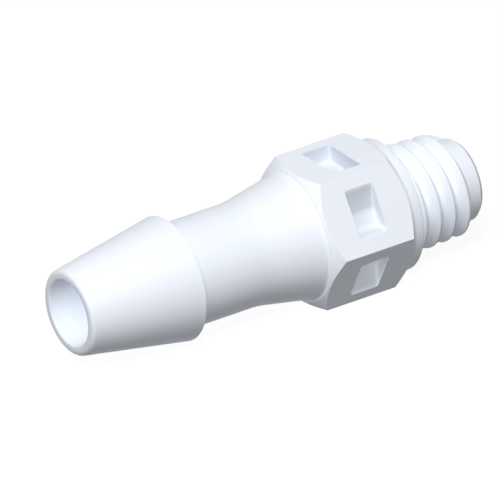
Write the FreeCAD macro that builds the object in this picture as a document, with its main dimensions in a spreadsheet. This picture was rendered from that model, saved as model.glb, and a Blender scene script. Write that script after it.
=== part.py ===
"""Threaded hose barb fitting, moulded in one piece. Millimetres.

The axis of the fitting is X. The origin is on the axis, in the face of the collar that seals
against the port, so the thread lies at positive X and the hose barb at negative X. The fitting
lies on one flat of its hexagon, and Z points up out of the opposite flat.
"""

import FreeCAD
import Part
import os
import re

import Sketcher


# Driving dimensions

DIMENSIONS = {
    # Hose barb: a cone from the lip to a sharp edge that holds the hose.
    "lip_diameter": 4.02,
    "lip_rounding": 0.25,
    "barb_diameter": 5.9,
    "barb_length": 5.52,
    # Neck behind the barb, which flares out into the hexagon.
    "neck_diameter": 4.89,
    "neck_length": 3.79,
    "flare_length": 2.83,
    "flare_step": 0.205,
    "flare_bend_radius": 4.0,
    "flare_root_radius": 0.16,
    # Hexagon for the wrench. Its turned corners leave a plane ring in front, and behind
    # one as wide as the collar's root is high.
    "hex_across_flats": 6.35,
    "hex_length": 4.43,
    "hex_front_land": 0.135,
    "hex_front_angle": 52.0,
    "hex_rear_land": 0.05,
    "hex_rear_angle": 55.0,
    # Pockets that keep the hexagon's walls thin, drawn up and down with the mould.
    # The side ones reach from an upright wall down to a level ledge across their sloping flat.
    "pocket_length": 1.5,
    "top_pocket_depth": 0.86,
    "top_pocket_width": 2.58,
    "side_pocket_depth": 0.66,
    "side_pocket_upper_reach": 1.2,
    "side_pocket_lower_reach": 1.07,
    "pocket_corner_radius": 0.12,
    # Collar that seals against the port, with a sloping root.
    "collar_diameter": 6.2,
    "collar_length": 0.57,
    "collar_rounding": 0.06,
    "collar_root_length": 0.13,
    # Tapered number 10 thread with 32 turns to the inch, right-handed. Its diameter is taken
    # over the crests, in the face of the collar, and its first groove is placed along the top.
    "thread_diameter": 5.12,
    "thread_taper_angle": 2.7,
    "thread_pitch": 0.79375,
    "thread_depth": 0.483,
    "thread_flank_angle": 30.0,
    "thread_crest_width": 0.099,
    "thread_length": 4.0,
    "thread_end_diameter": 3.76,
    "thread_end_rounding": 0.1,
    "thread_lead_angle": 32.0,
    "first_groove": 0.7,
    # Flow way, wide on the hose side and narrow through the thread.
    "hose_bore_diameter": 3.1,
    "bore_mouth_rounding": 0.1,
    "thread_bore_diameter": 2.4,
    "bore_step_angle": 30.0,
    "thread_bore_length": 6.05,
    # How far a cutting profile reaches past the surface that it cuts.
    "cut_reach": 0.5,
    "groove_reach": 0.03,
}

# Stations along the axis and radii, in the names of the sheet

THREAD_END = "thread_length"
COLLAR_BACK = "-collar_length"
HEX_FRONT = "-(collar_length + hex_length)"
FLARE_START = f"({HEX_FRONT} - flare_length)"
BARB_EDGE = f"({FLARE_START} - neck_length)"
LIP = f"({BARB_EDGE} - barb_length)"
HEX_RADIUS = "(hex_across_flats / 2)"
CORNER_RADIUS = "(hex_across_flats / sqrt(3))"
FLARE_RADIUS = f"({HEX_RADIUS} - flare_step)"
HEX_FRONT_RADIUS = f"({FLARE_RADIUS} + hex_front_land)"
HEX_REAR_RADIUS = "(collar_diameter / 2 + hex_rear_land)"
POCKET_MIDDLE = f"({HEX_FRONT} + hex_length / 2)"
SIDE_WALL = f"({HEX_RADIUS} * cos(30) - side_pocket_upper_reach * sin(30))"
SIDE_LEDGE = f"({HEX_RADIUS} * sin(30) - side_pocket_lower_reach * cos(30))"

SHEET_NAME = "Sizes"
BODY_NAME = "barb_fitting"

TURNS_BEHIND_SHOULDER = 2
GROOVE_START = f"(first_groove - {TURNS_BEHIND_SHOULDER} * thread_pitch)"


# Sheet, sketches and planes

def make_sheet(document):
    """Write every driving dimension into its own named cell."""
    sheet = document.addObject("Spreadsheet::Sheet", SHEET_NAME)
    for row, (name, value) in enumerate(DIMENSIONS.items(), start=1):
        sheet.set(f"A{row}", name)
        sheet.set(f"B{row}", str(value))
        sheet.setAlias(f"B{row}", name)
    document.recompute()
    return sheet


def bound(formula):
    """The formula with each dimension's name written as its cell in the sheet."""
    names = "|".join(DIMENSIONS)
    return re.sub(rf"\b({names})\b", rf"{SHEET_NAME}.\1", formula)


def value_of(document, formula):
    """The formula's present value, in millimetres or as a plain number."""
    value = document.getObject(SHEET_NAME).evalExpression(formula)
    return float(getattr(value, "Value", value))


def origin_plane(body, role):
    """The body's own origin plane or axis that has this role."""
    return next(item for item in body.Origin.OriginFeatures if item.Role == role)


def make_sketch(body, name, role, along_axis=None):
    """An empty sketch on one of the body's planes, moved along the plane's normal if asked."""
    sketch = body.newObject("Sketcher::SketchObject", name)
    sketch.AttachmentSupport = [(origin_plane(body, role), "")]
    sketch.MapMode = "FlatFace"
    if along_axis is not None:
        sketch.setExpression("AttachmentOffset.Base.z", bound(along_axis))
    return sketch


def place_corner(document, sketch, line, corner):
    """Tie the start of a line to a corner given by two formulas in the sheet's names."""
    for kind, formula in zip(("DistanceX", "DistanceY"), corner):
        distance = value_of(document, formula)
        constraint = sketch.addConstraint(Sketcher.Constraint(kind, -1, 1, line, 1, distance))
        sketch.setExpression(f"Constraints[{constraint}]", bound(formula))


def add_outline(document, sketch, corners):
    """Add one closed outline of straight lines through the corners."""
    places = [FreeCAD.Vector(*(value_of(document, formula) for formula in corner), 0)
              for corner in corners]
    lines = []
    for start, end in zip(places, places[1:] + places[:1]):
        lines.append(sketch.addGeometry(Part.LineSegment(start, end), False))
    for line, following in zip(lines, lines[1:] + lines[:1]):
        sketch.addConstraint(Sketcher.Constraint("Coincident", line, 2, following, 1))
    for line, corner in zip(lines, corners):
        place_corner(document, sketch, line, corner)


def make_turned(document, body, kind, name, outlines):
    """Turn closed outlines, drawn beside the axis, into a solid or a cut."""
    sketch = make_sketch(body, f"{name}_section", "XZ_Plane")
    for outline in outlines:
        add_outline(document, sketch, outline)
    document.recompute()
    turned = body.newObject(kind, name)
    turned.Profile = sketch
    turned.ReferenceAxis = (sketch, ["H_Axis"])
    turned.Angle = 360.0
    document.recompute()
    return turned


# Roundings

TOLERANCE = 1e-4


def ring_edges(document, shape, station, diameter):
    """Names of the full circles round the axis at one station."""
    place = value_of(document, station)
    radius = value_of(document, diameter) / 2
    names = []
    for number, edge in enumerate(shape.Edges, start=1):
        if not isinstance(edge.Curve, Part.Circle):
            continue
        centre = edge.Curve.Center
        if abs(centre.x - place) < TOLERANCE and abs(edge.Curve.Radius - radius) < TOLERANCE:
            names.append(f"Edge{number}")
    return names


def pocket_corner_edges(document, shape):
    """Names of the edges where the pockets' end walls meet their upright and level walls."""
    middle = value_of(document, POCKET_MIDDLE)
    reach = value_of(document, "pocket_length / 2")
    ledge = value_of(document, SIDE_LEDGE)
    names = []
    for number, edge in enumerate(shape.Edges, start=1):
        if not isinstance(edge.Curve, Part.Line):
            continue
        centre = edge.CenterOfMass
        at_end_wall = abs(abs(centre.x - middle) - reach) < TOLERANCE
        upright = abs(edge.Curve.Direction.z) > 1 - TOLERANCE
        on_ledge = abs(abs(centre.z) - ledge) < TOLERANCE
        if at_end_wall and (upright or on_ledge):
            names.append(f"Edge{number}")
    return names


def make_rounding(document, body, name, edges, radius):
    """Round the named edges of the body's present shape."""
    base = body.Tip
    rounding = body.newObject("PartDesign::Fillet", name)
    rounding.Base = (base, edges)
    rounding.setExpression("Radius", bound(radius))
    document.recompute()
    return rounding


def round_rings(document, body, rings):
    """Round full circles round the axis, each given by name, station, diameter and radius."""
    for name, station, diameter, radius in rings:
        edges = ring_edges(document, body.Tip.Shape, station, diameter)
        make_rounding(document, body, name, edges, radius)


# Features, from the thread to the tip

def crest_radius(station):
    """Radius of the thread's crests at a station along the axis."""
    return f"(thread_diameter / 2 - {station} * tan(thread_taper_angle))"


def make_thread_blank(document, body):
    """Slender cone through the thread's crests, with a steeper lead-in and a rounded edge."""
    lead_height = f"({crest_radius(THREAD_END)} - thread_end_diameter / 2)"
    lead_slope = "(tan(thread_lead_angle) - tan(thread_taper_angle))"
    lead_start = f"({THREAD_END} - {lead_height} / {lead_slope})"
    hidden_end = f"(-{TURNS_BEHIND_SHOULDER} * thread_pitch)"
    outline = [
        (hidden_end, "0"),
        (hidden_end, crest_radius(hidden_end)),
        (lead_start, crest_radius(lead_start)),
        (THREAD_END, "thread_end_diameter / 2"),
        (THREAD_END, "0"),
    ]
    make_turned(document, body, "PartDesign::Revolution", "thread_blank", [outline])
    round_rings(document, body, [
        ("thread_end_edge", THREAD_END, "thread_end_diameter", "thread_end_rounding"),
    ])


def make_thread_path(document):
    """Helix that narrows with the crests, kept as one edge to each turn."""
    path = document.addObject("Part::Helix", "thread_path")
    path.SegmentLength = 1
    turns = f"(ceil(thread_length / thread_pitch) + {TURNS_BEHIND_SHOULDER})"
    path.setExpression("Pitch", bound("thread_pitch"))
    path.setExpression("Height", bound(f"{turns} * thread_pitch"))
    path.setExpression("Radius", bound(crest_radius(GROOVE_START)))
    path.setExpression("Angle", bound("-thread_taper_angle"))
    lengthways = FreeCAD.Rotation(FreeCAD.Vector(1, 0, 1), 180)
    path.Placement = FreeCAD.Placement(FreeCAD.Vector(), lengthways)
    path.setExpression("Placement.Base.x", bound(GROOVE_START))
    document.recompute()
    return path


def cut_thread_groove(document, body):
    """Cut the helical groove, from behind the shoulder to past the end of the thread."""
    half_gap = "(thread_pitch - thread_crest_width) / 2"
    mouth = f"({half_gap} + groove_reach * tan(thread_flank_angle))"
    root = f"({half_gap} - thread_depth * tan(thread_flank_angle))"
    outline = []
    for along, height in ((f"-{root}", "-thread_depth"), (f"-{mouth}", "groove_reach"),
                          (mouth, "groove_reach"), (root, "-thread_depth")):
        station = f"({GROOVE_START} + {along})"
        outline.append((station, f"{crest_radius(station)} + {height}"))
    sketch = make_sketch(body, "thread_groove_section", "XZ_Plane")
    add_outline(document, sketch, outline)
    document.recompute()
    path = make_thread_path(document)
    groove = body.newObject("PartDesign::SubtractivePipe", "thread_groove")
    groove.Profile = sketch
    groove.Spine = (path, [f"Edge{number}" for number, _ in enumerate(path.Shape.Edges, start=1)])
    groove.Mode = "Frenet"
    document.recompute()
    return groove


def make_collar(document, body):
    """Disc between the thread and the hexagon, which closes the groove behind its face."""
    outline = [
        (COLLAR_BACK, "0"),
        (COLLAR_BACK, HEX_REAR_RADIUS),
        (f"{COLLAR_BACK} + collar_root_length", "collar_diameter / 2"),
        ("0", "collar_diameter / 2"),
        ("0", "0"),
    ]
    return make_turned(document, body, "PartDesign::Revolution", "collar", [outline])


def make_hexagon(document, body):
    """Six flats, the upper and lower ones level."""
    sketch = make_sketch(body, "hexagon_section", "YZ_Plane", HEX_FRONT)
    corners = [
        (CORNER_RADIUS, "0"),
        (f"{CORNER_RADIUS} / 2", HEX_RADIUS),
        (f"-{CORNER_RADIUS} / 2", HEX_RADIUS),
        (f"-{CORNER_RADIUS}", "0"),
        (f"-{CORNER_RADIUS} / 2", f"-{HEX_RADIUS}"),
        (f"{CORNER_RADIUS} / 2", f"-{HEX_RADIUS}"),
    ]
    add_outline(document, sketch, corners)
    document.recompute()
    hexagon = body.newObject("PartDesign::Pad", "hexagon")
    hexagon.Profile = sketch
    hexagon.setExpression("Length", bound("hex_length"))
    document.recompute()
    return hexagon


def turn_hexagon_corners(document, body):
    """Cut the corners of the hexagon back to a cone at each end."""
    outside = f"({CORNER_RADIUS} + cut_reach)"
    front_run = f"({outside} - {HEX_FRONT_RADIUS}) / tan(hex_front_angle)"
    rear_run = f"({outside} - {HEX_REAR_RADIUS}) / tan(hex_rear_angle)"
    front = [
        (HEX_FRONT, HEX_FRONT_RADIUS),
        (HEX_FRONT, outside),
        (f"{HEX_FRONT} + {front_run}", outside),
    ]
    rear = [
        (COLLAR_BACK, HEX_REAR_RADIUS),
        (COLLAR_BACK, outside),
        (f"{COLLAR_BACK} - {rear_run}", outside),
    ]
    return make_turned(document, body, "PartDesign::Groove", "turned_corners", [front, rear])


def make_stem(document, body):
    """Barb, neck and flare, up to the front of the hexagon."""
    outline = [
        (LIP, "0"),
        (LIP, "lip_diameter / 2"),
        (BARB_EDGE, "barb_diameter / 2"),
        (BARB_EDGE, "neck_diameter / 2"),
        (FLARE_START, "neck_diameter / 2"),
        (HEX_FRONT, FLARE_RADIUS),
        (HEX_FRONT, "0"),
    ]
    return make_turned(document, body, "PartDesign::Revolution", "stem", [outline])


def round_stem(document, body):
    """Round the lip, the bend and root of the flare, and the collar's edge."""
    round_rings(document, body, [
        ("lip_edge", LIP, "lip_diameter", "lip_rounding"),
        ("flare_bend", FLARE_START, "neck_diameter", "flare_bend_radius"),
        ("flare_root", HEX_FRONT, f"2 * {FLARE_RADIUS}", "flare_root_radius"),
        ("collar_edge", "0", "collar_diameter", "collar_rounding"),
    ])


def cut_pockets(document, body):
    """Cut one pocket into each flat: the upper three, then their mirror image below."""
    top_floor = f"({HEX_RADIUS} - top_pocket_depth)"
    side_floor = f"({HEX_RADIUS} - side_pocket_depth)"
    above = f"({HEX_RADIUS} + cut_reach)"
    outside = f"({CORNER_RADIUS} + cut_reach)"
    floor_top = f"(({side_floor} - {SIDE_WALL} * cos(30)) / sin(30))"
    floor_edge = f"(({side_floor} - {SIDE_LEDGE} * sin(30)) / cos(30))"
    sketch = make_sketch(body, "pocket_sections", "YZ_Plane", POCKET_MIDDLE)
    add_outline(document, sketch, [
        ("-top_pocket_width / 2", top_floor),
        ("top_pocket_width / 2", top_floor),
        ("top_pocket_width / 2", above),
        ("-top_pocket_width / 2", above),
    ])
    for side in ("1", "-1"):
        add_outline(document, sketch, [
            (f"{side} * {SIDE_WALL}", floor_top),
            (f"{side} * {SIDE_WALL}", above),
            (f"{side} * {outside}", above),
            (f"{side} * {outside}", SIDE_LEDGE),
            (f"{side} * {floor_edge}", SIDE_LEDGE),
        ])
    document.recompute()
    pockets = body.newObject("PartDesign::Pocket", "upper_pockets")
    pockets.Profile = sketch
    pockets.Midplane = True
    pockets.setExpression("Length", bound("pocket_length"))
    document.recompute()
    mirrored = body.newObject("PartDesign::Mirrored", "lower_pockets")
    mirrored.Originals = [pockets]
    mirrored.MirrorPlane = (origin_plane(body, "XY_Plane"), [""])
    body.Tip = mirrored
    document.recompute()
    return mirrored


def round_pocket_corners(document, body):
    """Round the corners of the pockets that stand along the mould's draw."""
    edges = pocket_corner_edges(document, body.Tip.Shape)
    make_rounding(document, body, "pocket_corners", edges, "pocket_corner_radius")


def cut_bore(document, body):
    """Cut the flow way right through, narrower on the thread side of a short cone."""
    narrow_end = f"({THREAD_END} - thread_bore_length)"
    step = "(hose_bore_diameter - thread_bore_diameter) / 2 / tan(bore_step_angle)"
    outline = [
        (f"{LIP} - cut_reach", "0"),
        (f"{LIP} - cut_reach", "hose_bore_diameter / 2"),
        (f"{narrow_end} - {step}", "hose_bore_diameter / 2"),
        (narrow_end, "thread_bore_diameter / 2"),
        (f"{THREAD_END} + cut_reach", "thread_bore_diameter / 2"),
        (f"{THREAD_END} + cut_reach", "0"),
    ]
    make_turned(document, body, "PartDesign::Groove", "bore", [outline])
    round_rings(document, body, [
        ("bore_mouth", LIP, "hose_bore_diameter", "bore_mouth_rounding"),
    ])


# Assembly of the body, checks and files

def make_fitting(document):
    """The whole fitting, as one body."""
    body = document.addObject("PartDesign::Body", BODY_NAME)
    body.Label = BODY_NAME
    make_thread_blank(document, body)
    cut_thread_groove(document, body)
    make_collar(document, body)
    make_hexagon(document, body)
    turn_hexagon_corners(document, body)
    make_stem(document, body)
    round_stem(document, body)
    cut_pockets(document, body)
    round_pocket_corners(document, body)
    cut_bore(document, body)
    body.Placement = FreeCAD.Placement()
    return body


def check_document(document, bodies):
    """Stop if an object failed to build or a body is not one valid solid."""
    for item in document.Objects:
        if "Invalid" in item.State or "Error" in item.State:
            raise RuntimeError(f"{item.Name} failed: {item.State}")
    for body in bodies:
        if body.Shape.isNull() or not body.Shape.isValid() or len(body.Shape.Solids) != 1:
            raise RuntimeError(f"{body.Label} is not one valid solid")


def write_parts(bodies):
    """Write each body's shape to a file with its own name."""
    os.makedirs("parts", exist_ok=True)
    for body in bodies:
        body.Shape.exportStep(os.path.join("parts", f"{body.Label}.step"))
        box = body.Shape.optimalBoundingBox()
        print(f"{body.Label}: volume {body.Shape.Volume:.3f} mm3, faces {len(body.Shape.Faces)}")
        print(f"x {box.XMin:.3f} {box.XMax:.3f} y {box.YMin:.3f} {box.YMax:.3f} "
              f"z {box.ZMin:.3f} {box.ZMax:.3f}")


def main():
    """Build the document, check it and write its part."""
    document = FreeCAD.newDocument("threaded_hose_barb_fitting")
    make_sheet(document)
    bodies = [make_fitting(document)]
    document.recompute()
    check_document(document, bodies)
    write_parts(bodies)


main()
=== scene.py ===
"""Threaded hose barb fitting in white moulded plastic, lying on one flat of its hexagon.

The fitting is one piece. It is turned about the X axis with its wide bore, cut to a hexagon, hollowed by
six pockets, joined to its screw thread and bored through, in millimetres, and then brought to metres in
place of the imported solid. It lies on a pale table under two soft lamps that hang in one place.
"""
import logging
import math
from collections.abc import Callable, Sequence
from dataclasses import dataclass, field
from enum import Enum
from itertools import pairwise

import bmesh
import bpy
from mathutils import Matrix, Vector


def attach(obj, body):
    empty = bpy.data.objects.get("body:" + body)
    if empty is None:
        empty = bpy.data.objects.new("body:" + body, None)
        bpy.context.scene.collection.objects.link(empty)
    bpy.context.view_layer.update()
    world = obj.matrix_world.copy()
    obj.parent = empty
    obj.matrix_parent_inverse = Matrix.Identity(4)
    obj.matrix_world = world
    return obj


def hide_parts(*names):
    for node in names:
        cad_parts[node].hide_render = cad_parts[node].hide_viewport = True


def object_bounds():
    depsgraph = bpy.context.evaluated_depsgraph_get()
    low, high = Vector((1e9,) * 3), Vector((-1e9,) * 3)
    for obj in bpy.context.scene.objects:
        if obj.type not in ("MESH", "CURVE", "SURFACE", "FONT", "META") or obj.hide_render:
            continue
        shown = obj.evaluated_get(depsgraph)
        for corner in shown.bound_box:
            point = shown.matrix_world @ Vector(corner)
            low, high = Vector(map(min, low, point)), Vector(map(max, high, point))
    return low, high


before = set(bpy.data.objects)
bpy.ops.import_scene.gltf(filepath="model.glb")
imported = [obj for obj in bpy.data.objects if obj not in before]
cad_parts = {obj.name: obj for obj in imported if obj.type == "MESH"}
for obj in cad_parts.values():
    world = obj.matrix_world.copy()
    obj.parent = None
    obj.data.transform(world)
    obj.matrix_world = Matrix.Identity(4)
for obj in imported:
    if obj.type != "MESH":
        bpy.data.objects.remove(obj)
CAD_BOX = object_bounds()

logging.basicConfig(level=logging.INFO, format="%(message)s")
LOG = logging.getLogger("scene")

MM = 0.001
MERGING = 1e-4
PINHOLE_SIDES = 8
FLATS = 6
FITTING_NODE = "barb_fitting"
BODY = "root"

Colour = tuple[float, float, float, float]


class Joining(Enum):
    """Ways in which one solid is worked with another."""

    ADD = "UNION"
    CUT = "DIFFERENCE"
    COMMON = "INTERSECT"


@dataclass(frozen=True)
class Corner:
    """One corner of an outline that is drawn beside the X axis."""

    station: float
    radius: float
    rounding: float = 0.0


def select_only(piece: bpy.types.Object) -> None:
    """Select one object and make it the active one."""
    bpy.ops.object.select_all(action="DESELECT")
    piece.select_set(True)
    bpy.context.view_layer.objects.active = piece


def choose_edges(piece: bpy.types.Object, wanted: Callable[[bmesh.types.BMEdge], bool]) -> None:
    """Select the edges of the mesh being edited that pass a test, and no others.

    Args:
        piece: The object in edit mode.
        wanted: Says whether an edge is selected.
    """
    bpy.ops.mesh.select_mode(type="EDGE")
    bpy.ops.mesh.select_all(action="DESELECT")
    mesh = bmesh.from_edit_mesh(piece.data)
    mesh.normal_update()
    for edge in [edge for edge in mesh.edges if wanted(edge)]:
        edge.select_set(True)
    bmesh.update_edit_mesh(piece.data)


def mirrored_copy(piece: bpy.types.Object, mirroring: Sequence[float]) -> bpy.types.Object:
    """Copy a solid and mirror the copy in the planes through the origin.

    Args:
        piece: The solid.
        mirroring: One or minus one for each axis.

    Returns:
        The copy, with its faces outwards.
    """
    select_only(piece)
    bpy.ops.object.duplicate(linked=False)
    copy = bpy.context.active_object
    copy.scale = mirroring
    bpy.ops.object.transform_apply(location=True, rotation=True, scale=True)
    bpy.ops.object.mode_set(mode="EDIT")
    bpy.ops.mesh.select_all(action="SELECT")
    bpy.ops.mesh.normals_make_consistent(inside=False)
    bpy.ops.object.mode_set(mode="OBJECT")
    return copy


def work(piece: bpy.types.Object, tool: bpy.types.Object, joining: Joining) -> None:
    """Add a solid to the piece, cut it away, or keep what both have in common.

    Args:
        piece: The solid that is changed.
        tool: The other solid, which is used up.
        joining: What is done with the two.
    """
    modifier = piece.modifiers.new(joining.name, "BOOLEAN")
    modifier.operation = joining.value
    modifier.solver = "EXACT"
    modifier.object = tool
    select_only(piece)
    bpy.ops.object.modifier_apply(modifier=modifier.name)
    bpy.data.objects.remove(tool)


def make_whole(piece: bpy.types.Object) -> None:
    """Merge the doubled points of a worked solid, close its pinholes and point its faces outwards.

    Args:
        piece: The solid, in millimetres.
    """
    select_only(piece)
    bpy.ops.object.mode_set(mode="EDIT")
    bpy.ops.mesh.select_mode(type="VERT")
    bpy.ops.mesh.select_all(action="SELECT")
    bpy.ops.mesh.remove_doubles(threshold=MERGING)
    bpy.ops.mesh.dissolve_degenerate(threshold=MERGING)
    bpy.ops.mesh.select_all(action="DESELECT")
    bpy.ops.mesh.select_non_manifold()
    bpy.ops.mesh.fill_holes(sides=PINHOLE_SIDES)
    bpy.ops.mesh.select_all(action="SELECT")
    bpy.ops.mesh.normals_make_consistent(inside=False)
    bpy.ops.object.mode_set(mode="OBJECT")


def softened(corners: Sequence[Corner], arc_step: float = math.radians(10.0)) -> list[Vector]:
    """Replace each corner that has a rounding by the points of its arc.

    Args:
        corners: The outline's corners, in order. The first and the last stay sharp.
        arc_step: The largest turn between two points of an arc.

    Returns:
        The outline's points, as station and radius.
    """
    points = [Vector((corner.station, corner.radius)) for corner in corners]
    outline = [points[0]]
    for number, corner in enumerate(corners[1:-1], start=1):
        place = points[number]
        if not corner.rounding:
            outline.append(place)
            continue
        arriving = (place - points[number - 1]).normalized()
        leaving = (points[number + 1] - place).normalized()
        turn = arriving.angle(leaving)
        reach = corner.rounding * math.tan(turn / 2)
        inward = (leaving - arriving).normalized()
        centre = place + inward * (corner.rounding / math.cos(turn / 2))
        start = place - arriving * reach - centre
        side = math.copysign(1.0, arriving.x * leaving.y - arriving.y * leaving.x)
        steps = max(2, math.ceil(turn / arc_step))
        for step in range(steps + 1):
            angle = side * turn * step / steps
            spoke = Matrix.Rotation(angle, 2) @ start
            outline.append(centre + spoke)
    outline.append(points[-1])
    return outline


def add_block(low: Vector, high: Vector) -> bpy.types.Object:
    """Add a block between two corners and leave it in edit mode.

    Args:
        low: Its lowest corner.
        high: Its highest corner.

    Returns:
        The block.
    """
    bpy.ops.object.select_all(action="DESELECT")
    bpy.ops.mesh.primitive_cube_add(size=1.0, location=(low + high) / 2, scale=high - low)
    block = bpy.context.active_object
    bpy.ops.object.transform_apply(location=True, rotation=True, scale=True)
    bpy.ops.object.mode_set(mode="EDIT")
    return block


@dataclass
class TurnedSolid:
    """Closed solid, turned about the X axis from an outline that runs along it."""

    name: str
    corners: Sequence[Corner]
    sides: int = 192

    def build(self) -> bpy.types.Object:
        """Add a disc and draw it out along the outline, ring by ring.

        Returns:
            The solid.
        """
        outline = softened(self.corners)
        first = outline[0]
        bpy.ops.object.select_all(action="DESELECT")
        bpy.ops.mesh.primitive_circle_add(
            vertices=self.sides,
            radius=first.y,
            fill_type="NGON",
            location=(first.x, 0.0, 0.0),
            rotation=(0.0, math.pi / 2, 0.0),
        )
        solid = bpy.context.active_object
        solid.name = self.name
        bpy.ops.object.transform_apply(location=True, rotation=True, scale=True)
        bpy.ops.object.mode_set(mode="EDIT")
        bpy.ops.mesh.select_mode(type="FACE")
        bpy.ops.mesh.select_all(action="SELECT")
        for here, there in pairwise(outline):
            bpy.ops.mesh.extrude_region_move(
                TRANSFORM_OT_translate={"value": (there.x - here.x, 0.0, 0.0)}
            )
            growth = there.y / here.y
            bpy.ops.transform.resize(value=(1.0, growth, growth), center_override=(there.x, 0.0, 0.0))
        bpy.ops.mesh.select_all(action="SELECT")
        bpy.ops.mesh.normals_make_consistent(inside=False)
        bpy.ops.object.mode_set(mode="OBJECT")
        return solid


@dataclass
class Thread:
    """Right-handed tapered ridge wound on a core, which is bare at its end and chamfered."""

    diameter: float = 5.12
    taper: float = math.radians(2.7)
    depth: float = 0.483
    pitch: float = 0.79375
    crest_width: float = 0.099
    flank_angle: float = math.radians(30.0)
    crest_rounding: float = 0.05
    root_rounding: float = 0.07
    first_groove: float = 0.7
    length: float = 4.0
    end_diameter: float = 3.57
    end_rounding: float = 0.03
    lead_angle: float = math.radians(40.0)
    hidden_length: float = 1.0
    buried: float = 0.1
    foot_gap: float = 0.015
    core_cover: float = 0.002
    turns_behind_face: int = 1
    turns: int = 5
    steps_per_turn: int = 120
    arc_step: float = math.radians(20.0)
    ramp_gaps: int = 3
    ramp_height: float = 1.83
    ramp_turn: float = math.radians(5.4)

    @property
    def root(self) -> float:
        """Distance of the grooves' floor from the axis, before the taper."""
        return self.diameter / 2 - self.depth

    @property
    def first_crest(self) -> float:
        """Station at which the ridge starts, above the axis and inside the collar."""
        return self.first_groove - (self.turns_behind_face + 0.5) * self.pitch

    def ridge_outline(self) -> list[Vector]:
        """The closed outline of the ridge, with its foot buried in the core.

        Returns:
            The points, as station and radius.
        """
        middle = self.first_crest
        crest = self.diameter / 2
        half_crest = self.crest_width / 2
        half_root = half_crest + self.depth * math.tan(self.flank_angle)
        half_foot = self.pitch / 2 - self.foot_gap
        foot = self.root - self.buried
        return softened([
            Corner(middle - half_foot, foot),
            Corner(middle - half_foot, self.root),
            Corner(middle - half_root, self.root, self.root_rounding),
            Corner(middle - half_crest, crest, self.crest_rounding),
            Corner(middle + half_crest, crest, self.crest_rounding),
            Corner(middle + half_root, self.root, self.root_rounding),
            Corner(middle + half_foot, self.root),
            Corner(middle + half_foot, foot),
            Corner(middle - half_foot, foot),
        ], arc_step=self.arc_step)

    def draw_ridge(self) -> bpy.types.Object:
        """Draw the ridge's outline, point by point, from a single point.

        Returns:
            The closed wire.
        """
        outline = self.ridge_outline()
        first = outline[0]
        bpy.ops.object.select_all(action="DESELECT")
        bpy.ops.mesh.primitive_plane_add(size=self.pitch, location=(first.x, 0.0, first.y))
        wire = bpy.context.active_object
        wire.name = "ridge"
        bpy.ops.object.transform_apply(location=True, rotation=True, scale=True)
        bpy.ops.object.mode_set(mode="EDIT")
        bpy.ops.mesh.select_mode(type="VERT")
        bpy.ops.mesh.select_all(action="SELECT")
        bpy.ops.mesh.merge(type="CENTER")
        for here, there in pairwise(outline):
            bpy.ops.mesh.extrude_vertices_move(
                TRANSFORM_OT_translate={"value": (there.x - here.x, 0.0, there.y - here.y)}
            )
        bpy.ops.mesh.select_all(action="SELECT")
        bpy.ops.mesh.remove_doubles(threshold=MERGING)
        bpy.ops.object.mode_set(mode="OBJECT")
        return wire

    def wind_ridge(self) -> bpy.types.Object:
        """Wind the ridge round the axis, close its two ends and let the last one run out.

        Returns:
            The closed ridge, not yet tapered.
        """
        ridge = self.draw_ridge()
        screw = ridge.modifiers.new("turns", "SCREW")
        screw.axis = "X"
        screw.angle = 2 * math.pi
        screw.screw_offset = self.pitch
        screw.iterations = self.turns
        screw.steps = self.steps_per_turn
        screw.render_steps = self.steps_per_turn
        screw.use_merge_vertices = False
        select_only(ridge)
        bpy.ops.object.modifier_apply(modifier=screw.name)
        bpy.ops.object.mode_set(mode="EDIT")
        bpy.ops.mesh.select_all(action="SELECT")
        bpy.ops.mesh.remove_doubles(threshold=MERGING)
        bpy.ops.mesh.select_all(action="SELECT")
        bpy.ops.mesh.fill_holes(sides=0)
        bpy.ops.mesh.select_all(action="SELECT")
        bpy.ops.mesh.normals_make_consistent(inside=False)
        bpy.ops.object.mode_set(mode="OBJECT")
        work(ridge, self.ramp_cutter(), Joining.CUT)
        return ridge

    def ramp_cutter(self) -> bpy.types.Object:
        """Block whose underside slants the ridge's last end down to the core.

        Returns:
            The block.
        """
        end = self.first_crest + self.turns * self.pitch
        start = end - self.pitch / 2 - self.ramp_gaps * self.foot_gap
        low = Vector((start, -self.diameter, self.ramp_height))
        high = Vector((end + self.pitch, self.diameter, self.diameter))
        cutter = add_block(low, high)
        bpy.ops.object.mode_set(mode="OBJECT")
        cutter.rotation_euler.x = self.ramp_turn
        bpy.ops.object.transform_apply(location=True, rotation=True, scale=True)
        return cutter

    def build(self) -> bpy.types.Object:
        """Join the ridge to its core, taper both and turn the chamfer.

        Returns:
            The closed thread.
        """
        start = -self.hidden_length
        end = self.length + self.pitch / 2
        cover = self.root + self.core_cover
        core = [Corner(start, cover), Corner(end, cover)]
        thread = TurnedSolid("thread", core, self.steps_per_turn).build()
        work(thread, self.wind_ridge(), Joining.ADD)
        narrowing = thread.modifiers.new("taper", "SIMPLE_DEFORM")
        narrowing.deform_method = "TAPER"
        narrowing.deform_axis = "X"
        narrowing.factor = -(end - start) * math.tan(self.taper) / (self.diameter / 2)
        bpy.ops.object.modifier_apply(modifier=narrowing.name)
        work(thread, self.chamfered_room().build(), Joining.COMMON)
        make_whole(thread)
        return thread

    def chamfered_room(self) -> TurnedSolid:
        """The room that the thread keeps to: wide along the crests and chamfered at the end.

        Returns:
            The turned solid, not yet built.
        """
        open_radius = self.diameter
        end_radius = self.end_diameter / 2
        run = (open_radius - end_radius) / math.tan(self.lead_angle)
        return TurnedSolid("chamfered_room", [
            Corner(-2 * self.hidden_length, open_radius / 2),
            Corner(-2 * self.hidden_length, open_radius),
            Corner(self.length - run, open_radius),
            Corner(self.length, end_radius, self.end_rounding),
            Corner(self.length, end_radius / 2),
        ])


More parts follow.
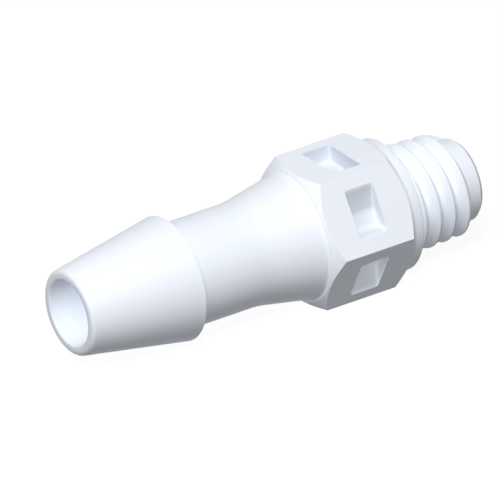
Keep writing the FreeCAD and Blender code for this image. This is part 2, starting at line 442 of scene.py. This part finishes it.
@dataclass
class Hexagon:
    """Six flats for a wrench, with a shallow pocket in each and turned corners at both ends."""

    front: float
    back: float
    across_flats: float = 6.35
    edge_softness: float = 0.02
    pocket_length: float = 1.5
    top_pocket_depth: float = 0.86
    top_pocket_width: float = 2.58
    side_pocket_depth: float = 0.66
    side_pocket_upper_reach: float = 1.2
    side_pocket_lower_reach: float = 1.07
    pocket_rounding: float = 0.12
    edge_segments: int = 2
    pocket_segments: int = 6
    beyond: float = 0.5

    @property
    def flat_radius(self) -> float:
        """Distance of a flat from the axis."""
        return self.across_flats / 2

    @property
    def corner_radius(self) -> float:
        """Distance of a corner from the axis."""
        return self.across_flats / math.sqrt(3)

    @property
    def middle(self) -> float:
        """Station of the hexagon's middle, at which the pockets lie."""
        return (self.front + self.back) / 2

    def cut_flats(self, piece: bpy.types.Object) -> None:
        """Cut the six flats and soften the six edges between them.

        Args:
            piece: The turned solid.
        """
        select_only(piece)
        bpy.ops.object.mode_set(mode="EDIT")
        for number in range(FLATS):
            outwards = Matrix.Rotation(number * math.pi / 3, 3, "X") @ Vector((0.0, 0.0, 1.0))
            bpy.ops.mesh.select_all(action="SELECT")
            bpy.ops.mesh.bisect(
                plane_co=outwards * self.flat_radius,
                plane_no=outwards,
                use_fill=True,
                clear_outer=True,
            )
        choose_edges(piece, self.is_long_edge)
        bpy.ops.mesh.bevel(
            offset=self.edge_softness, segments=self.edge_segments, profile=0.5, affect="EDGES"
        )
        bpy.ops.object.mode_set(mode="OBJECT")

    def is_long_edge(self, edge: bmesh.types.BMEdge) -> bool:
        """Say whether an edge runs along the axis between two flats."""
        return all(
            math.isclose(math.hypot(end.co.y, end.co.z), self.corner_radius, abs_tol=1e-3)
            for end in edge.verts
        )

    def round_inside(self, cutter: bpy.types.Object) -> None:
        """Round the cutter's edges inside the hexagon, leave edit mode and point its faces outwards.

        Args:
            cutter: The cutter in edit mode.
        """
        choose_edges(cutter, self.reaches_inside)
        bpy.ops.mesh.bevel(
            offset=self.pocket_rounding, segments=self.pocket_segments, profile=0.5, affect="EDGES"
        )
        bpy.ops.mesh.select_all(action="SELECT")
        bpy.ops.mesh.normals_make_consistent(inside=False)
        bpy.ops.object.mode_set(mode="OBJECT")

    def reaches_inside(self, edge: bmesh.types.BMEdge) -> bool:
        """Say whether an end of the edge lies nearer to the axis than the hexagon's corners."""
        return any(math.hypot(end.co.y, end.co.z) < self.corner_radius for end in edge.verts)

    def top_cutter(self) -> bpy.types.Object:
        """Cutter for the upper flat's pocket.

        Returns:
            The cutter.
        """
        half = Vector((self.pocket_length / 2, self.top_pocket_width / 2, 0.0))
        floor = Vector((self.middle, 0.0, self.flat_radius - self.top_pocket_depth))
        above = Vector((self.middle, 0.0, self.flat_radius + self.beyond))
        cutter = add_block(floor - half, above + half)
        self.round_inside(cutter)
        return cutter

    def side_cutter(self) -> bpy.types.Object:
        """Cutter for one upper side flat's pocket, with the wall and the ledge that the mould draws.

        Returns:
            The cutter.
        """
        tilt = math.pi / 6
        inner_wall = self.flat_radius * math.cos(tilt) - self.side_pocket_upper_reach * math.sin(tilt)
        ledge = self.flat_radius * math.sin(tilt) - self.side_pocket_lower_reach * math.cos(tilt)
        low = Vector((self.middle - self.pocket_length / 2, inner_wall, ledge))
        reach = self.corner_radius + self.beyond
        high = Vector((self.middle + self.pocket_length / 2, reach, reach))
        cutter = add_block(low, high)
        outwards = Vector((0.0, math.cos(tilt), math.sin(tilt)))
        bpy.ops.mesh.select_all(action="SELECT")
        bpy.ops.mesh.bisect(
            plane_co=outwards * (self.flat_radius - self.side_pocket_depth),
            plane_no=outwards,
            use_fill=True,
            clear_inner=True,
        )
        self.round_inside(cutter)
        return cutter

    def cut_pockets(self, piece: bpy.types.Object) -> None:
        """Cut the six pockets: the upper three, and their mirror images below.

        Args:
            piece: The solid with its flats.
        """
        up_and_down = ((1.0, 1.0, 1.0), (1.0, 1.0, -1.0))
        all_round = (*up_and_down, (1.0, -1.0, 1.0), (1.0, -1.0, -1.0))
        pockets = ((self.top_cutter(), up_and_down), (self.side_cutter(), all_round))
        for cutter, mirrorings in pockets:
            for mirroring in mirrorings:
                work(piece, mirrored_copy(cutter, mirroring), Joining.CUT)
            bpy.data.objects.remove(cutter)


@dataclass(frozen=True)
class MouldedPlastic:
    """White plastic as it leaves the mould: satin and finely grained, with painted shade in its pockets
    and its flow way.
    """

    hexagon: Hexagon
    bore_radius: float
    name: str = "white_moulded_plastic"
    colour: Colour = (0.84, 0.88, 0.95, 1.0)
    cloud_colour: Colour = (0.825, 0.865, 0.935, 1.0)
    # painted shade: a greyer colour that stands in for the shade in the hexagon's pockets
    pocket_shade_colour: Colour = (0.69, 0.73, 0.79, 1.0)
    # painted shade: a greyer colour that stands in for the shade inside the flow way
    bore_shade_colour: Colour = (0.76, 0.80, 0.86, 1.0)
    pocket_shade_fade: tuple[float, float] = (0.01, 0.12)
    bore_shade_fade: tuple[float, float] = (0.11, 0.0)
    cloud_scale: float = 260.0
    cloud_detail: float = 3.0
    grain_scale: float = 14000.0
    grain_detail: float = 2.0
    smoothest: float = 0.42
    roughest: float = 0.52
    grain_height: float = 0.4e-6
    refraction: float = 1.46
    specular: float = 0.35

    def build(self) -> bpy.types.Material:
        """Make the material's nodes.

        Returns:
            The new material.
        """
        material = bpy.data.materials.new(self.name)
        material.use_nodes = True
        nodes = material.node_tree.nodes
        links = material.node_tree.links
        shader = nodes["Principled BSDF"]
        place = nodes.new("ShaderNodeTexCoord").outputs["Object"]

        clouds = nodes.new("ShaderNodeTexNoise")
        clouds.inputs["Scale"].default_value = self.cloud_scale
        clouds.inputs["Detail"].default_value = self.cloud_detail
        links.new(place, clouds.inputs["Vector"])
        outside = self.tinted(material, clouds.outputs["Fac"], self.colour, self.cloud_colour)
        # painted shade in the pockets: the colour turns greyer with depth below the flats
        pocket_shade = self.pocket_shade_share(material, place)
        pocket_shaded = self.tinted(material, pocket_shade, outside, self.pocket_shade_colour)
        # painted shade in the flow way: the colour turns greyer inside the bore
        bore_shade = self.bore_shade_share(material, place)
        bored = self.tinted(material, bore_shade, pocket_shaded, self.bore_shade_colour)
        links.new(bored, shader.inputs["Base Color"])

        gloss = nodes.new("ShaderNodeMapRange")
        gloss.inputs["To Min"].default_value = self.smoothest
        gloss.inputs["To Max"].default_value = self.roughest
        links.new(clouds.outputs["Fac"], gloss.inputs["Value"])
        links.new(gloss.outputs["Result"], shader.inputs["Roughness"])

        grain = nodes.new("ShaderNodeTexNoise")
        grain.inputs["Scale"].default_value = self.grain_scale
        grain.inputs["Detail"].default_value = self.grain_detail
        links.new(place, grain.inputs["Vector"])
        bump = nodes.new("ShaderNodeBump")
        bump.inputs["Distance"].default_value = self.grain_height
        links.new(grain.outputs["Fac"], bump.inputs["Height"])
        links.new(bump.outputs["Normal"], shader.inputs["Normal"])

        shader.inputs["IOR"].default_value = self.refraction
        shader.inputs["Specular IOR Level"].default_value = self.specular
        return material

    def tinted(
        self,
        material: bpy.types.Material,
        share: bpy.types.NodeSocket,
        first: bpy.types.NodeSocket | Colour,
        second: Colour,
    ) -> bpy.types.NodeSocket:
        """Mix a second colour into a first one.

        Args:
            material: The material.
            share: The second colour's share.
            first: The first colour, or the socket that gives it.
            second: The second colour.

        Returns:
            The socket of the mixed colour.
        """
        mix = material.node_tree.nodes.new("ShaderNodeMix")
        mix.data_type = "RGBA"
        material.node_tree.links.new(share, mix.inputs["Factor"])
        if isinstance(first, bpy.types.NodeSocket):
            material.node_tree.links.new(first, mix.inputs["A"])
        else:
            mix.inputs["A"].default_value = first
        mix.inputs["B"].default_value = second
        return mix.outputs["Result"]

    def faded(
        self,
        material: bpy.types.Material,
        value: bpy.types.NodeSocket,
        none: float,
        full: float,
    ) -> bpy.types.NodeSocket:
        """Turn a length into a share that rises from none to full.

        Args:
            material: The material.
            value: The length, in metres.
            none: The length at which the share is none, in millimetres.
            full: The length at which the share is full, in millimetres.

        Returns:
            The socket of the share.
        """
        fade = material.node_tree.nodes.new("ShaderNodeMapRange")
        fade.interpolation_type = "SMOOTHSTEP"
        fade.inputs["From Min"].default_value = none * MM
        fade.inputs["From Max"].default_value = full * MM
        material.node_tree.links.new(value, fade.inputs["Value"])
        return fade.outputs["Result"]

    def pocket_shade_share(
        self, material: bpy.types.Material, place: bpy.types.NodeSocket
    ) -> bpy.types.NodeSocket:
        """Say how deep a place lies in a pocket of the hexagon, where shade is painted.

        Args:
            material: The material.
            place: The place on the piece.

        Returns:
            The socket of the share: none on the flats, full on the pockets' floors.
        """
        nodes = material.node_tree.nodes
        links = material.node_tree.links
        outmost = None
        for number in range(FLATS // 2):
            direction = Matrix.Rotation(number * math.pi / 3, 3, "X") @ Vector((0.0, 0.0, 1.0))
            reach = nodes.new("ShaderNodeVectorMath")
            reach.operation = "DOT_PRODUCT"
            reach.inputs[1].default_value = direction
            links.new(place, reach.inputs[0])
            distance = nodes.new("ShaderNodeMath")
            distance.operation = "ABSOLUTE"
            links.new(reach.outputs["Value"], distance.inputs[0])
            if outmost is None:
                outmost = distance.outputs["Value"]
                continue
            larger = nodes.new("ShaderNodeMath")
            larger.operation = "MAXIMUM"
            links.new(outmost, larger.inputs[0])
            links.new(distance.outputs["Value"], larger.inputs[1])
            outmost = larger.outputs["Value"]
        flat = self.hexagon.flat_radius
        shallow, deep = self.pocket_shade_fade
        depth = self.faded(material, outmost, flat - shallow, flat - deep)
        split = nodes.new("ShaderNodeSeparateXYZ")
        links.new(place, split.inputs["Vector"])
        beside = nodes.new("ShaderNodeMath")
        beside.operation = "COMPARE"
        beside.inputs[1].default_value = self.hexagon.middle * MM
        beside.inputs[2].default_value = (self.hexagon.pocket_length / 2 + shallow) * MM
        links.new(split.outputs["X"], beside.inputs[0])
        share = nodes.new("ShaderNodeMath")
        share.operation = "MULTIPLY"
        links.new(depth, share.inputs[0])
        links.new(beside.outputs["Value"], share.inputs[1])
        return share.outputs["Value"]

    def bore_shade_share(
        self, material: bpy.types.Material, place: bpy.types.NodeSocket
    ) -> bpy.types.NodeSocket:
        """Say how far a place lies inside the flow way, where shade is painted.

        Args:
            material: The material.
            place: The place on the piece.

        Returns:
            The socket of the share: none outside, full in the flow way.
        """
        nodes = material.node_tree.nodes
        links = material.node_tree.links
        across = nodes.new("ShaderNodeVectorMath")
        across.operation = "MULTIPLY"
        across.inputs[1].default_value = (0.0, 1.0, 1.0)
        links.new(place, across.inputs[0])
        radius = nodes.new("ShaderNodeVectorMath")
        radius.operation = "LENGTH"
        links.new(across.outputs["Vector"], radius.inputs[0])
        outer, inner = self.bore_shade_fade
        outside, inside = self.bore_radius + outer, self.bore_radius + inner
        return self.faded(material, radius.outputs["Value"], outside, inside)


@dataclass
class Fitting:
    """The whole fitting: barb, neck and flare, hexagon, collar, thread and flow way, in millimetres."""

    lip_diameter: float = 4.02
    lip_rounding: float = 0.25
    barb_diameter: float = 5.9
    barb_length: float = 5.52
    barb_rounding: float = 0.03
    neck_diameter: float = 4.89
    neck_length: float = 3.79
    neck_root_rounding: float = 0.03
    flare_length: float = 2.83
    flare_step: float = 0.205
    flare_bend_radius: float = 4.0
    flare_root_radius: float = 0.16
    hex_length: float = 4.43
    front_land: float = 0.135
    front_angle: float = math.radians(52.0)
    rear_land: float = 0.05
    rear_angle: float = math.radians(55.0)
    collar_diameter: float = 6.2
    collar_length: float = 0.57
    collar_rounding: float = 0.06
    collar_root_length: float = 0.13
    collar_root_rounding: float = 0.2
    hose_bore_diameter: float = 3.1
    bore_mouth_rounding: float = 0.1
    thread_bore_diameter: float = 2.4
    bore_step_angle: float = math.radians(30.0)
    thread_bore_length: float = 6.05
    smooth_angle: float = math.radians(25.0)
    thread: Thread = field(default_factory=Thread)

    @property
    def collar_back(self) -> float:
        """Station of the hexagon's rear face."""
        return -self.collar_length

    @property
    def hex_front(self) -> float:
        """Station of the hexagon's front face."""
        return self.collar_back - self.hex_length

    @property
    def flare_start(self) -> float:
        """Station where the neck begins to flare."""
        return self.hex_front - self.flare_length

    @property
    def barb_edge(self) -> float:
        """Station of the barb's back face."""
        return self.flare_start - self.neck_length

    @property
    def tip(self) -> float:
        """Station of the barb's tip."""
        return self.barb_edge - self.barb_length

    @property
    def narrow_start(self) -> float:
        """Station where the flow way becomes narrow."""
        return self.thread.length - self.thread_bore_length

    def turned_body(self, hexagon: Hexagon) -> bpy.types.Object:
        """Turn everything in front of the thread, with its wide bore and the hexagon still round.

        Args:
            hexagon: The hexagon that is cut later.

        Returns:
            The turned solid.
        """
        bore = self.hose_bore_diameter / 2
        narrow = self.thread_bore_diameter / 2
        closed = narrow / 2
        slope = math.tan(self.bore_step_angle)
        flare = hexagon.flat_radius - self.flare_step
        front = flare + self.front_land
        collar = self.collar_diameter / 2
        rear = collar + self.rear_land
        outside = hexagon.corner_radius + hexagon.beyond / 2
        front_run = (outside - front) / math.tan(self.front_angle)
        rear_run = (outside - rear) / math.tan(self.rear_angle)
        return TurnedSolid(FITTING_NODE, [
            Corner(self.narrow_start + (narrow - closed) / slope, closed),
            Corner(self.narrow_start - (bore - narrow) / slope, bore),
            Corner(self.tip, bore, self.bore_mouth_rounding),
            Corner(self.tip, self.lip_diameter / 2, self.lip_rounding),
            Corner(self.barb_edge, self.barb_diameter / 2, self.barb_rounding),
            Corner(self.barb_edge, self.neck_diameter / 2, self.neck_root_rounding),
            Corner(self.flare_start, self.neck_diameter / 2, self.flare_bend_radius),
            Corner(self.hex_front, flare, self.flare_root_radius),
            Corner(self.hex_front, front),
            Corner(self.hex_front + front_run, outside),
            Corner(self.collar_back - rear_run, outside),
            Corner(self.collar_back, rear),
            Corner(self.collar_back + self.collar_root_length, collar, self.collar_root_rounding),
            Corner(0.0, collar, self.collar_rounding),
            Corner(0.0, closed),
        ]).build()

    def narrow_way(self) -> bpy.types.Object:
        """Turn the core that is cut out for the narrow part of the flow way.

        Returns:
            The core.
        """
        narrow = self.thread_bore_diameter / 2
        return TurnedSolid("narrow_way", [
            Corner(self.narrow_start - self.hose_bore_diameter, narrow),
            Corner(self.thread.length + self.hose_bore_diameter, narrow),
        ]).build()

    def build(self) -> None:
        """Make the fitting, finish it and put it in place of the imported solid."""
        hexagon = Hexagon(front=self.hex_front, back=self.collar_back)
        piece = self.turned_body(hexagon)
        hexagon.cut_flats(piece)
        hexagon.cut_pockets(piece)
        work(piece, self.thread.build(), Joining.ADD)
        work(piece, self.narrow_way(), Joining.CUT)
        self.finish(piece, MouldedPlastic(hexagon, self.hose_bore_diameter / 2))
        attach(piece, BODY)
        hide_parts(FITTING_NODE)
        LOG.info("%s: %d faces", piece.name, len(piece.data.polygons))

    def finish(self, piece: bpy.types.Object, plastic: MouldedPlastic) -> None:
        """Clean the mesh, bring it to metres, smooth its round faces and dress it.

        Args:
            piece: The finished solid, in millimetres.
            plastic: What it is moulded from.
        """
        piece.name = "moulded_fitting"
        make_whole(piece)
        piece.scale = (MM, MM, MM)
        bpy.ops.object.transform_apply(location=True, rotation=True, scale=True)
        bpy.ops.object.shade_smooth_by_angle(angle=self.smooth_angle)
        weighted = piece.modifiers.new("even_flats", "WEIGHTED_NORMAL")
        weighted.keep_sharp = True
        bpy.ops.object.modifier_apply(modifier=weighted.name)
        piece.data.materials.clear()
        piece.data.materials.append(plastic.build())


@dataclass(frozen=True)
class Lamp:
    """One round lamp that hangs up on the camera's side, over the barb, and points at the fitting."""

    name: str
    power: float
    casts_shadow: bool
    size: float = 0.16
    distance: float = 0.30
    direction: tuple[float, float, float] = (-0.427, -0.463, 0.777)

    def build(self) -> None:
        """Hang the lamp, at the strength that gives the fitting's colour at a power of about one."""
        towards = Vector(self.direction).normalized()
        data = bpy.data.lights.new(self.name, "AREA")
        data.shape = "DISK"
        data.size = self.size
        data.energy = math.pi ** 2 * self.distance ** 2 * self.power
        data.use_shadow = self.casts_shadow
        lamp = bpy.data.objects.new(self.name, data)
        lamp.location = towards * self.distance
        lamp.rotation_mode = "QUATERNION"
        lamp.rotation_quaternion = (-towards).to_track_quat("-Z", "Y")
        bpy.context.scene.collection.objects.link(lamp)


@dataclass
class Studio:
    """Pale table, two soft lamps in one place, and a pale room."""

    table_size: float = 3.0
    lamps: Sequence[Lamp] = (
        Lamp("soft_lamp", power=0.31, casts_shadow=True),
        Lamp("fill_lamp", power=0.80, casts_shadow=False),
    )
    room_strength: float = 0.13
    table_colour: float = 0.5
    table_glow: float = 0.60
    table_bounce: float = 0.20
    room_colour: Colour = (0.98, 0.99, 1.0, 1.0)
    white: Colour = (1.0, 1.0, 1.0, 1.0)

    def build(self) -> None:
        """Make the table, the lamps and the room."""
        self.make_table()
        for lamp in self.lamps:
            lamp.build()
        self.make_room()

    def make_table(self) -> None:
        """Lay the table under the fitting."""
        bpy.ops.object.select_all(action="DESELECT")
        bpy.ops.mesh.primitive_plane_add(size=self.table_size, location=(0.0, 0.0, CAD_BOX[0].z))
        table = bpy.context.active_object
        table.name = "table"
        table.data.materials.append(self.table_material())

    def table_material(self) -> bpy.types.Material:
        """White to the camera, with the fitting's shadow, and grey to the light that it throws back.

        Returns:
            The table's material.
        """
        material = bpy.data.materials.new("pale_table")
        material.use_nodes = True
        nodes = material.node_tree.nodes
        links = material.node_tree.links
        nodes.remove(nodes["Principled BSDF"])
        lit = nodes.new("ShaderNodeBsdfDiffuse")
        lit.inputs["Color"].default_value = self.grey(self.table_colour)
        glow = nodes.new("ShaderNodeEmission")
        glow.inputs["Strength"].default_value = self.table_glow
        pale = nodes.new("ShaderNodeAddShader")
        links.new(lit.outputs["BSDF"], pale.inputs[0])
        links.new(glow.outputs["Emission"], pale.inputs[1])
        thrown = nodes.new("ShaderNodeBsdfDiffuse")
        thrown.inputs["Color"].default_value = self.grey(self.table_bounce)
        choice = nodes.new("ShaderNodeMixShader")
        links.new(self.seen(material.node_tree), choice.inputs["Fac"])
        links.new(thrown.outputs["BSDF"], choice.inputs[1])
        links.new(pale.outputs["Shader"], choice.inputs[2])
        links.new(choice.outputs["Shader"], nodes["Material Output"].inputs["Surface"])
        return material

    def grey(self, level: float) -> Colour:
        """The grey of one level."""
        return (level, level, level, 1.0)

    def seen(self, tree: bpy.types.NodeTree) -> bpy.types.NodeSocket:
        """Tell what is looked at, straight, mirrored or through glass, from what gives light.

        Args:
            tree: The nodes of the table or the room.

        Returns:
            The socket that is one for what is looked at.
        """
        path = tree.nodes.new("ShaderNodeLightPath")
        looked_at = path.outputs["Is Camera Ray"]
        for way in ("Is Glossy Ray", "Is Transmission Ray"):
            either = tree.nodes.new("ShaderNodeMath")
            either.operation = "MAXIMUM"
            tree.links.new(looked_at, either.inputs[0])
            tree.links.new(path.outputs[way], either.inputs[1])
            looked_at = either.outputs["Value"]
        return looked_at

    def make_room(self) -> None:
        """White to the camera, and dimmer as a source of light."""
        world = bpy.data.worlds.new("room")
        bpy.context.scene.world = world
        world.use_nodes = True
        nodes = world.node_tree.nodes
        links = world.node_tree.links
        nodes.clear()
        dim = nodes.new("ShaderNodeBackground")
        dim.inputs["Color"].default_value = self.room_colour
        dim.inputs["Strength"].default_value = self.room_strength
        white = nodes.new("ShaderNodeBackground")
        white.inputs["Color"].default_value = self.white
        choice = nodes.new("ShaderNodeMixShader")
        output = nodes.new("ShaderNodeOutputWorld")
        links.new(self.seen(world.node_tree), choice.inputs["Fac"])
        links.new(dim.outputs["Background"], choice.inputs[1])
        links.new(white.outputs["Background"], choice.inputs[2])
        links.new(choice.outputs["Shader"], output.inputs["Surface"])


@dataclass
class Viewpoint:
    """Long-lens view from the barb's side, looking down on the fitting."""

    axis_away: float = math.radians(28.2)
    axis_rise: float = math.radians(18.98)
    around_axis: float = math.radians(30.9)
    frame_width: float = 22.45 * MM
    aim: float = -7.33 * MM
    aim_above_axis: float = 0.042 * MM
    distance: float = 0.25
    nearest: float = 0.01
    farthest: float = 2.0

    def build(self) -> None:
        """Place the camera and make it the scene's."""
        along = Vector((1.0, 0.0, 0.0))
        towards = Vector((0.0, -math.cos(self.around_axis), math.sin(self.around_axis)))
        down = Vector((0.0, -math.sin(self.around_axis), -math.cos(self.around_axis)))
        back = math.cos(self.axis_away) * towards - math.sin(self.axis_away) * along
        axis_in_view = math.cos(self.axis_away) * along + math.sin(self.axis_away) * towards
        right = math.cos(self.axis_rise) * axis_in_view + math.sin(self.axis_rise) * down
        up = math.sin(self.axis_rise) * axis_in_view - math.cos(self.axis_rise) * down
        turn = Matrix((right, up, back)).transposed().to_4x4()
        data = bpy.data.cameras.new("camera")
        data.type = "ORTHO"
        data.ortho_scale = self.frame_width
        data.clip_start = self.nearest
        data.clip_end = self.farthest
        camera = bpy.data.objects.new("camera", data)
        middle = along * self.aim - down * self.aim_above_axis
        camera.matrix_world = Matrix.Translation(middle + back * self.distance) @ turn
        bpy.context.scene.collection.objects.link(camera)
        bpy.context.scene.camera = camera


def main() -> None:
    """Build the fitting, the studio and the camera."""
    Fitting().build()
    Studio().build()
    Viewpoint().build()
    bpy.context.scene.view_settings.view_transform = "Standard"


if __name__ == "__main__":
    main()
